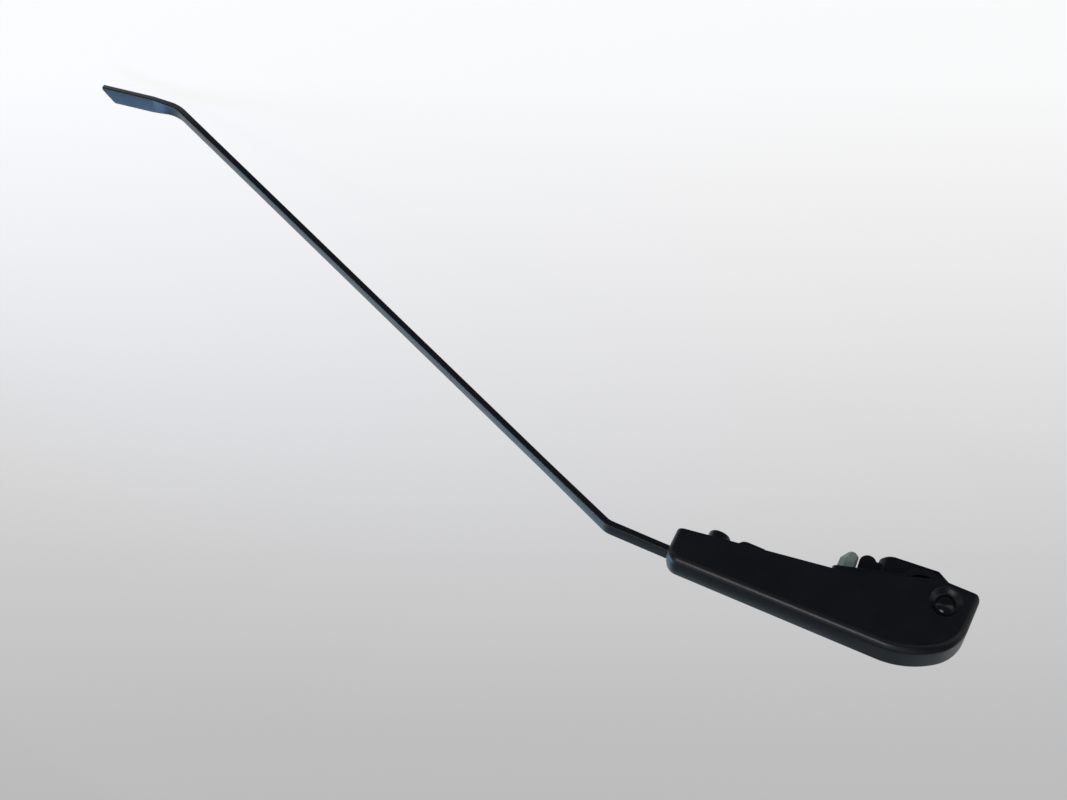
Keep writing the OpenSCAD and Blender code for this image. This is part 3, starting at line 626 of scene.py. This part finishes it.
# %% The cover's sides
columns = np.concatenate([[FRONT + EDGE], corner_mid[:, 0], back_x[back_x <= SPLIT]])
tops = np.concatenate([[corner_z], corner_mid[:, 1], spine(back_x[back_x <= SPLIT]) - EDGE])


def side_front(sign):
    """Flat front part of a side: each column runs from the open edge up to the rolled edge."""
    foot = open_edge(columns)
    z = foot + (tops - foot) * rows_up[:, None]
    x = np.broadcast_to(columns, z.shape)
    return np.stack([x, sign * half_width(x), z], -1)


at_split = len(corner_mid) + int((back_x < SPLIT - 1e-9).sum())
loop = [np.stack([mid[at_split:, 0], mid[at_split:, 1]], -1)]
loop.append(rear[1:, 0][:, [0, 2]])
level = np.linspace(REAR - EDGE, EAR_X, 16)[1:]
ear = np.linspace(EAR_X, SPLIT, 16)[1:]
for xs in (level, ear):
    loop.append(np.stack([xs, open_edge(xs)], -1))
foot = open_edge(np.array([SPLIT]))[0]
split_top = float(spine(SPLIT)) - EDGE
loop.append(np.stack([np.full(len(rows_up) - 2, SPLIT), foot + (split_top - foot) * rows_up[1:-1]], -1))
loop = np.concatenate(loop)

# the seat: radius of its rim, width of its slope, depth of its floor, and how soft its corners are
SEAT_RIM, SEAT_SLOPE, SEAT_DEPTH, SEAT_SOFT = 7.6, 2.6, 1.95, 0.16
PIN_R = 3.0
rings = np.concatenate([[PIN_R, 3.8], np.arange(4.4, 8.9, 0.22)])


def dish(r):
    """Depth of the seat at a distance from the pin: a cone with both of its corners rounded. The difference
    of two soft steps is flat, then sloped, then flat."""
    slope = (SEAT_RIM - r) / SEAT_SLOPE * SEAT_DEPTH
    rim = np.logaddexp(0, slope / SEAT_SOFT)
    floor_corner = np.logaddexp(0, (slope - SEAT_DEPTH) / SEAT_SOFT)
    return SEAT_SOFT * (rim - floor_corner)


def side_rear(sign):
    """Ring patch about the pin: the outer loop is the side's outline, and the inner rings are circles that
    are sunk by the dish."""
    angle = np.arctan2(loop[:, 1], loop[:, 0])
    x = rings[:, None] * np.cos(angle)
    z = rings[:, None] * np.sin(angle)
    y = half_width(x) - dish(rings)[:, None]
    outer = np.stack([loop[:, 0], half_width(loop[:, 0]), loop[:, 1]], -1)
    points = np.concatenate([np.stack([x, y, z], -1), outer[None]])
    points[..., 1] *= sign
    return points


patches = [(from_arm(cover_band), band_cells[keep])]
for sign in (1, -1):
    for points, wrap in ((side_front(sign), False), (side_rear(sign), True)):
        corner_numbers = cells(*points.shape[:2], wrap_cols=wrap)
        flip = (sign > 0) == wrap
        patches.append((from_arm(points), corner_numbers[..., ::-1] if flip else corner_numbers))
cover_mesh = joined("cover", patches)

# %% The cover's sheet
# The shell is open, so its normals are made to agree and then turned if the back's middle looks down
on_back = Vector(from_arm(np.array([FRONT / 2, 0, TOP])))
work = bmesh.new()
work.from_mesh(cover_mesh)
bmesh.ops.recalc_face_normals(work, faces=work.faces)
back_face = min(work.faces, key=lambda face: (face.calc_center_median() - on_back).length)
if back_face.normal.z < 0:
    bmesh.ops.reverse_faces(work, faces=work.faces)
edge_uses = [len(edge.link_faces) for edge in work.edges]
print("cover shell", len(work.faces), "faces,", edge_uses.count(1), "open edges,",
      sum(uses > 2 for uses in edge_uses), "edges with three faces")
work.to_mesh(cover_mesh)
work.free()
cover = placed("pressed_cover", cover_mesh, steel_black)
sheet = cover.modifiers.new("sheet", "SOLIDIFY")
sheet.thickness, sheet.offset, sheet.use_even_offset = WALL * MM, -1.0, True
rounded_edges(cover, 0.3, 3, 50.0)
settled(cover)
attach(cover, "arm")
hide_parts("arm_cover")
print("cover", len(cover.data.polygons), "faces")

# %% [markdown]
# ## The bar
# The bar is a flat strip of steel with its long edges rounded. It starts inside the cover as a hooked
# tail, leaves through the front wall, bends down towards the glass, narrows over a long straight and
# ends in a short tip that is bent back, twisted a little, thinner and cut at a slant. All that is one
# section carried along one path, so it is one grid: a row for each place along the bar and a column for
# each point round the section.

# %% The bar's path
BEND, TIP_R = 9.0, 20.0
CRANK, TIP_BEND, TWIST, ROLL = (math.radians(v) for v in (22.1, 31.6, 17.0, -4.0))
BAR_Z, TAIL_R = 26.1, 4.65
# Width and thickness inside the cover and at the tip
ROOT, SLIM = (9.0, 3.3), (8.4, 2.9)
# Where the crank's corner lies, the lengths from corner to corner and on to the end, the end's slant
CRANK_X, STRAIGHT, TIP_LENGTH, SLANT = -153.7, 319.3, 38.0, 8.1
# How far the faces bow: inside the cover, along the straight, at the tip
BOWS = (0.1, 0.18, 0.03)


def heading(p):
    return np.stack([-np.cos(p), -np.sin(p)], -1)


def outward(p):
    return np.stack([-np.sin(p), np.cos(p)], -1)


def bend(start, radius, p0, p1, steps):
    """Centres along a bend: the start moved to the bend's centre, then out again at each new pitch."""
    way = 1.0 if p1 > p0 else -1.0
    p = np.linspace(p0, p1, steps)
    return start - way * radius * outward(np.array(p0)) + way * radius * outward(p), p


# the tail leans forward to a foot that is bent back towards the hinge and hammered thinner at its end
LEAN, CURL_R, CURL_X, FOOT_Z = math.radians(-103.0), 3.0, -91.65, 7.7
curl, curl_p = bend(np.array([CURL_X, FOOT_Z + ROOT[1] / 2]), CURL_R, 0.0, LEAN, 12)
foot_x, foot_thin = np.array([-83.5, -86.0, -88.8]), np.array([1.3, 0.9, 0.4])
foot_pts = np.stack([foot_x, FOOT_Z + (ROOT[1] - foot_thin) / 2], -1)
curl = np.concatenate([foot_pts, curl])
curl_p = np.concatenate([np.zeros(len(foot_x)), curl_p])
leg_rise = BAR_Z - TAIL_R * (1 - math.cos(LEAN)) - curl[-1, 1]
leg_top = curl[-1] + heading(np.array(LEAN)) * leg_rise / -math.sin(LEAN)
tail, tail_p = bend(leg_top, TAIL_R, LEAN, 0.0, 16)
crank_cut, tip_cut = BEND * math.tan(CRANK / 2), TIP_R * math.tan(TIP_BEND / 2)
crank_pts, crank_p = bend(np.array([CRANK_X + crank_cut, BAR_Z]), BEND, 0.0, CRANK, 14)
main_run = STRAIGHT - crank_cut - tip_cut
main_share = np.linspace(0, 1, 40)[1:-1]
main_way, end_way = heading(np.array(CRANK)), heading(np.array(CRANK - TIP_BEND))
main_pts = crank_pts[-1] + main_run * main_share[:, None] * main_way
tip_pts, tip_p = bend(crank_pts[-1] + main_run * main_way, TIP_R, CRANK, CRANK - TIP_BEND, 20)
# millimetres along the tip: close together where it twists
end_run = np.concatenate([np.arange(1.0, 8.5), [14.0, 20.0, 25.0, TIP_LENGTH - tip_cut]])
end_pts = tip_pts[-1] + end_run[:, None] * end_way
centres = np.concatenate([curl, tail, crank_pts, main_pts, tip_pts, end_pts])
pitch = np.concatenate([curl_p, tail_p, crank_p, np.full(len(main_pts), CRANK), tip_p,
                        np.full(len(end_pts), CRANK - TIP_BEND)])
n_root, n_slim = len(curl) + len(tail) + len(crank_pts), len(tip_pts) + len(end_pts)
slim = np.concatenate([np.zeros(n_root), main_share, np.ones(n_slim)])
# the long straight is rolled a little away from the reference picture's side, the tip towards it
twist = np.concatenate([
    np.zeros(n_root), ROLL * np.clip(main_share * 8, 0, 1),
    np.linspace(ROLL, 0.0, len(tip_pts)), TWIST * np.clip(end_run / 8.0, 0, 1)])
slant = np.zeros(len(centres))
slant[-1] = SLANT
widths = ROOT[0] + (SLIM[0] - ROOT[0]) * slim
thicks = np.full(len(centres), ROOT[1])
thicks[-n_slim:] = np.linspace(ROOT[1], SLIM[1], n_slim)
thicks[:len(foot_thin)] -= foot_thin
bows = BOWS[0] + (BOWS[1] - BOWS[0]) * np.clip(slim * 8, 0, 1)
bows[-n_slim:] = np.linspace(BOWS[1], BOWS[2], n_slim)
steps = np.linalg.norm(np.diff(centres, axis=0), axis=1)
print("bar path", len(centres), "places,", round(float(steps.sum()), 1), "mm long")


# %% The bar's section
def section(width, thick, bow, radius=0.5, steps=6, inner=9):
    """A rectangle with round corners, one row per place: corner centres plus a quarter circle each, and a
    few points across each wide face, which is rolled slightly bowed: highest in its middle."""
    turn = np.radians(np.concatenate([np.linspace(a, a + 90, steps) for a in (0, 90, 180, 270)]))
    su = np.repeat([1, -1, -1, 1], steps)
    sv = np.repeat([1, 1, -1, -1], steps)
    u = su * (thick[:, None] / 2 - bow[:, None] - radius) + radius * np.cos(turn)
    v = sv * (width[:, None] / 2 - radius) + radius * np.sin(turn)
    share = np.linspace(0, 1, inner + 2)[1:-1]
    v_down = v[:, 2 * steps - 1, None] + (v[:, 2 * steps, None] - v[:, 2 * steps - 1, None]) * share
    v_up = v[:, -1, None] + (v[:, 0, None] - v[:, -1, None]) * share
    face = thick[:, None] / 2 - bow[:, None] * (2 * share - 1) ** 2
    u = np.concatenate([u[:, :2 * steps], -face, u[:, 2 * steps:], face], 1)
    v = np.concatenate([v[:, :2 * steps], v_down, v[:, 2 * steps:], v_up], 1)
    return u, v


def blunted(reach, limit=2.9, soft=0.35):
    """The slanted end's reach, held below a limit by a soft step, so that its sharp corner is blunt."""
    return reach - soft * np.logaddexp(0, (reach - limit) / soft)


def swept_bar():
    """Section point (u, v) at each place: u along the outward direction, v across, both turned by the
    twist. At the slanted end a point also moves along the bar in proportion to v."""
    u, v = section(widths, thicks, bows)
    c, s = np.cos(twist)[:, None], np.sin(twist)[:, None]
    lift, across = u * c - v * s, u * s + v * c
    forward = slant[:, None] * v / widths[:, None]
    forward[-1] = blunted(forward[-1])
    raised = centres[:, None] + lift[..., None] * outward(pitch)[:, None]
    xz = raised + forward[..., None] * heading(pitch)[:, None]
    return np.stack([xz[..., 0], across, xz[..., 1]], -1)


bar_points = swept_bar()
bar_faces = [group[..., ::-1] for group in capped(*bar_points.shape[:2])]
bar_mesh = joined("bar", [(from_arm(bar_points), bar_faces)])


# %% The bar's holes
def prism(name, outline, centre, axis, length):
    """A closed prism: an outline in two axes carried a length along the third, for cutting a hole."""
    steps = np.array([-0.5, 0.5])[:, None] * length
    n = len(outline)
    a, b = np.broadcast_to(outline[:, 0], (2, n)), np.broadcast_to(outline[:, 1], (2, n))
    along = np.broadcast_to(steps, (2, n))
    points = np.stack({"x": (along, a, b), "z": (a, b, along)}[axis], -1) + centre
    return joined(name, [(from_arm(points), capped(2, n))])


# The slot for the spring's hook is two half circles drawn apart; the screw's hole is round
SLOT_R, SLOT_Z, SCREW_HOLE_R, SCREW_X, CUT_LENGTH = 1.6, 17.0, 3.2, -105.0, 8.0
turns = np.linspace(0, 2 * math.pi, 33)[:-1]
ring_outline = np.stack([np.cos(turns), np.sin(turns)], -1)
slot_outline = ring_outline * SLOT_R
slot_outline[:, 1] += np.where(np.sin(turns) >= 0, SLOT_R, -SLOT_R)
slot_place, screw_place = np.array([TAIL_HOOK[0], 0, SLOT_Z]), np.array([SCREW_X, 0, BAR_Z])


def boolean(piece, cutter_mesh, way="DIFFERENCE"):
    """Takes the cutter's shape out of a piece, or adds it, then clears the cutter away."""
    cutter = bpy.data.objects.new("cutter", faced_outwards(cutter_mesh))
    bpy.context.scene.collection.objects.link(cutter)
    hole = piece.modifiers.new("hole", "BOOLEAN")
    hole.operation, hole.solver, hole.object = way, "EXACT", cutter
    depsgraph = bpy.context.evaluated_depsgraph_get()
    piece.data = bpy.data.meshes.new_from_object(piece.evaluated_get(depsgraph))
    piece.modifiers.clear()
    bpy.data.objects.remove(cutter)


bar = placed("flat_bar", bar_mesh, steel_black)
boolean(bar, prism("slot", slot_outline, slot_place, "x", CUT_LENGTH))
boolean(bar, prism("screw_hole", ring_outline * SCREW_HOLE_R, screw_place, "z", CUT_LENGTH))
rounded_edges(bar, 0.25, 2, 50.0)
settled(bar)
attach(bar, "arm")
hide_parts("arm_bar")
print("bar", len(bar.data.polygons), "faces")

# %% [markdown]
# ## The hinge rivet
# A rivet is turned, so its outline is spun round its axis: a grid with one row for each point of the
# outline and one column for each step round.

# %% Rivet
def spun(outline, steps=64):
    """Outline points (radius, y) carried round the y axis: x is radius times cosine, z is radius times
    sine."""
    turn = np.linspace(0, 2 * math.pi, steps, endpoint=False)
    r, y = outline[:, :1], outline[:, 1:]
    return np.stack([r * np.cos(turn), np.broadcast_to(y, (len(r), steps)), r * np.sin(turn)], -1)


# The head is a shallow dome that sits on the floor of the cover's seat; its sphere's radius follows from
# the head's radius and rise. The outline starts a hair off the axis, so that the pole is a small ring
HEAD_R, HEAD_RISE, HEAD_TURN, POLE_R = 4.6, 1.9, 44.0, 0.01
dome = np.radians(np.linspace(0, HEAD_TURN, 14))
dome_r = (HEAD_R ** 2 + HEAD_RISE ** 2) / (2 * HEAD_RISE)
seat_floor = HINGE_HALF - SEAT_DEPTH
half = np.stack([dome_r * np.sin(dome), seat_floor + HEAD_RISE - dome_r * (1 - np.cos(dome))], -1)
half[0, 0] = POLE_R
rim = np.array([[HEAD_R, seat_floor + 0.06], [HEAD_R - 0.05, seat_floor], [PIN_R, seat_floor]])
half = np.concatenate([half, rim])
points = spun(np.concatenate([half, (half * [1, -1])[::-1]]))
rivet_mesh = faced_outwards(joined("rivet", [(from_arm(points), capped(*points.shape[:2]))]))
rivet = placed("hinge_rivet", rivet_mesh, rivet_black)
settled(rivet)
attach(rivet, "arm")
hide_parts("hinge_pin")
print("rivet", len(rivet.data.polygons), "faces")

# %% [markdown]
# ## The spring
# One wire makes the whole spring: a hook behind the strap's saddle, a straight lead along the line of
# pull, the coils, and a second hook through the slot in the bar's tail. The wire's centre line is a
# function of one parameter, and a ring of points is set across it at each step.

# %% Spring wire
WIRE, COIL, HOOK_R = 0.8, 3.7, 1.8
REAR_HOOK, LEAD_FROM = 38.6, 39.4
COIL_FROM, COIL_TO = 52.7, PULL_LENGTH - 6.0
TURNS, STEPS_PER_TURN = 18, 32


def smooth(t):
    """A step from 0 to 1 that starts and ends level: 3 t squared minus 2 t cubed."""
    return t * t * (3 - 2 * t)


def straight(start, end, steps=8):
    """Evenly spaced points along the line of pull."""
    x = np.linspace(start, end, steps)
    return np.stack([x, 0 * x, 0 * x], -1)


def wire_line():
    """Centre line in strap coordinates: half circle, straight, a spiral out to the coil radius, the coils,
    a spiral in, straight, half circle. x is minus the distance from the strap pin."""
    turn = np.radians(np.linspace(90, -90, 14))
    rear = np.stack([-REAR_HOOK + HOOK_R * np.cos(turn), 0 * turn, HOOK_R + HOOK_R * np.sin(turn)], -1)
    lead = straight(-LEAD_FROM, -COIL_FROM + 2.0)
    count = np.linspace(-0.5, TURNS + 0.5, (TURNS + 1) * STEPS_PER_TURN + 1)
    inside = np.clip(count / TURNS, 0, 1)
    ease = smooth(np.clip(np.minimum((count + 0.5) / 0.5, (TURNS + 0.5 - count) / 0.5), 0, 1))
    spread = 1.2 * (1 - ease) * np.where(count < TURNS / 2, 1, -1)
    along = -COIL_FROM - (COIL_TO - COIL_FROM) * inside + spread
    wound = 2 * math.pi * count
    coil = np.stack([along, COIL * ease * np.sin(wound), COIL * ease * np.cos(wound)], -1)
    hook_x = -(PULL_LENGTH + (ROOT[1] / 2 + WIRE) / math.cos(STRAP_RISE + DROOP) + 0.75)
    run = straight(-COIL_TO - 2.0, hook_x + 0.6)
    front = np.stack([hook_x - HOOK_R * np.cos(turn), 0 * turn, -HOOK_R + HOOK_R * np.sin(turn)], -1)
    return np.concatenate([rear, lead, coil, run, front])


def tube(line, radius, sides=14):
    """Rings across a line: each ring's frame is the one before it, turned as little as the line allows. A
    ring's point is the radius times the cosine of its turn one way and the sine the other way."""
    along = np.gradient(line, axis=0)
    along /= np.linalg.norm(along, axis=1, keepdims=True)
    first = np.cross(along[0], [0.0, 1.0, 0.0])
    frames = [first / np.linalg.norm(first)]
    for t in along[1:]:
        v = frames[-1] - t * (frames[-1] @ t)
        frames.append(v / np.linalg.norm(v))
    u = np.array(frames)
    w = np.cross(along, u)
    turn = np.linspace(0, 2 * math.pi, sides, endpoint=False)
    ring = np.cos(turn)[:, None] * u[:, None] + np.sin(turn)[:, None] * w[:, None]
    return line[:, None] + radius * ring


points = tube(wire_line(), WIRE)
spring_mesh = faced_outwards(joined("spring", [(from_strap(points), capped(*points.shape[:2]))]))
spring = placed("spring_wire", spring_mesh, wire_steel)
settled(spring, 50.0)
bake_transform(spring)
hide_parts("tension_spring", "spring_front_hook")
print("spring wire", len(points), "steps long")

# %% [markdown]
# ## Castings and small pieces
# The other pieces keep the shape of their solids. Real ones have no knife edges, so each solid is copied,
# its loose triangles are joined, and its edges are rounded by what casting, stamping or moulding leaves.

# %% Solids with broken edges
def dressed(node, name, body, material, width, segments=3, angle=30.0):
    """A copy of a solid with its flat faces made whole and its edges rounded; it stands for the solid."""
    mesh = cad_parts[node].data.copy()
    work = bmesh.new()
    work.from_mesh(mesh)
    bmesh.ops.remove_doubles(work, verts=work.verts, dist=2e-6)
    bmesh.ops.dissolve_limit(work, angle_limit=math.radians(1.0), verts=work.verts, edges=work.edges)
    work.to_mesh(mesh)
    work.free()
    piece = placed(name, mesh, material)
    rounded_edges(piece, width, segments, angle)
    settled(piece)
    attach(piece, body)
    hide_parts(node)
    print(name, len(piece.data.polygons), "faces")


dressed("mounting_head", "cast_head", "head", cast_black, 0.7)
dressed("tension_strap", "folded_strap", "strap", steel_black, 0.2, 2)
dressed("clamp_block", "clamp_block_piece", "arm", zinc, 0.4)
dressed("clamp_screw", "clamp_screw_piece", "arm", steel_black, 0.3)

# %% [markdown]
# The saddle is moulded in one piece: a block that fits inside the strap's folded end, and a post that
# stands through it. Both are convex, so each is simply the hull of a few corners. The post narrows
# towards its end in two slants, the first of them mostly in front.

# %% Nylon saddle
POST_X, POST_LEAN = -43.4, STRAP_RISE + DROOP
# The block inside the strap: front, rear, half width, half height, and the cut of its front corners
BLOCK_FRONT, BLOCK_REAR, BLOCK_HALF, BLOCK_RISE, BLOCK_CUT = -47.55, -39.4, 6.25, 3.0, 1.2
# The bore for the spring's wire: radius, place and its two ends
BORE_R, BORE_X, BORE_ENDS, BORE_SIDES = 1.1, -42.0, (-6.0, 8.0), 24


def hull_mesh(name, points):
    """The convex hull of some points in metres, with its flat faces made whole."""
    mesh = bpy.data.meshes.new(name)
    work = bmesh.new()
    for point in points:
        work.verts.new(point)
    bmesh.ops.convex_hull(work, input=work.verts)
    bmesh.ops.dissolve_limit(work, angle_limit=math.radians(1.0), verts=work.verts, edges=work.edges)
    work.to_mesh(mesh)
    work.free()
    return mesh


def outline_corners(front, rear, half, front_cut, rear_cut):
    """Corners of a rectangle, seen from above, whose front and rear corners are cut."""
    one_side = [
        (front, half - front_cut), (front + front_cut, half),
        (rear - rear_cut, half), (rear, half - rear_cut),
    ]
    return [(x, way * y) for x, y in one_side for way in (1, -1)]


# Rings of the post: depth, front, rear, half width, and how far the front corners are cut
REAR_CUT = 0.9
RINGS = [
    (-1.0, -4.4, 3.55, 4.2, 2.8), (-8.7, -4.4, 3.55, 4.2, 2.8),
    (-11.3, -2.7, 3.4, 3.7, 2.0), (-12.9, -1.5, 2.0, 2.9, 1.2),
]
post = np.array([
    (x, y, depth) for depth, front, rear, half_y, cut_y in RINGS
    for x, y in outline_corners(front, rear, half_y, cut_y, REAR_CUT)
])
post = turned(post, np.array([POST_X, 0.0, 0.0]), POST_LEAN) / MM
block = np.array([
    (x, y, z) for z in (-BLOCK_RISE, BLOCK_RISE) for x, y in (
        (BLOCK_FRONT, BLOCK_HALF - BLOCK_CUT), (BLOCK_FRONT, BLOCK_CUT - BLOCK_HALF),
        (BLOCK_FRONT + BLOCK_CUT, BLOCK_HALF), (BLOCK_FRONT + BLOCK_CUT, -BLOCK_HALF),
        (BLOCK_REAR, BLOCK_HALF), (BLOCK_REAR, -BLOCK_HALF))
])
saddle = placed("nylon_saddle", hull_mesh("saddle", from_strap(block)), nylon)
boolean(saddle, hull_mesh("post", from_strap(post)), "UNION")
bore_outline = np.array([[BORE_R, end] for end in BORE_ENDS])
bore = spun(bore_outline, BORE_SIDES)[..., [1, 0, 2]] + [BORE_X, 0.0, 0.0]
boolean(saddle, joined("bore", [(from_strap(bore), capped(2, BORE_SIDES))]))
rounded_edges(saddle, 0.35, 3, 20.0)
settled(saddle)
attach(saddle, "strap")
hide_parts("spring_saddle")
print("saddle", len(saddle.data.polygons), "faces")

# %% Metals of the solids that stay
STAYING = {
    "hinge_bush": bronze, "strap_pin": zinc, "hinge_shims": zinc,
    "backing_plate": zinc, "spring_washer": wire_steel,
}
for node, material in STAYING.items():
    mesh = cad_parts[node].data
    mesh.materials.clear()
    mesh.materials.append(material)
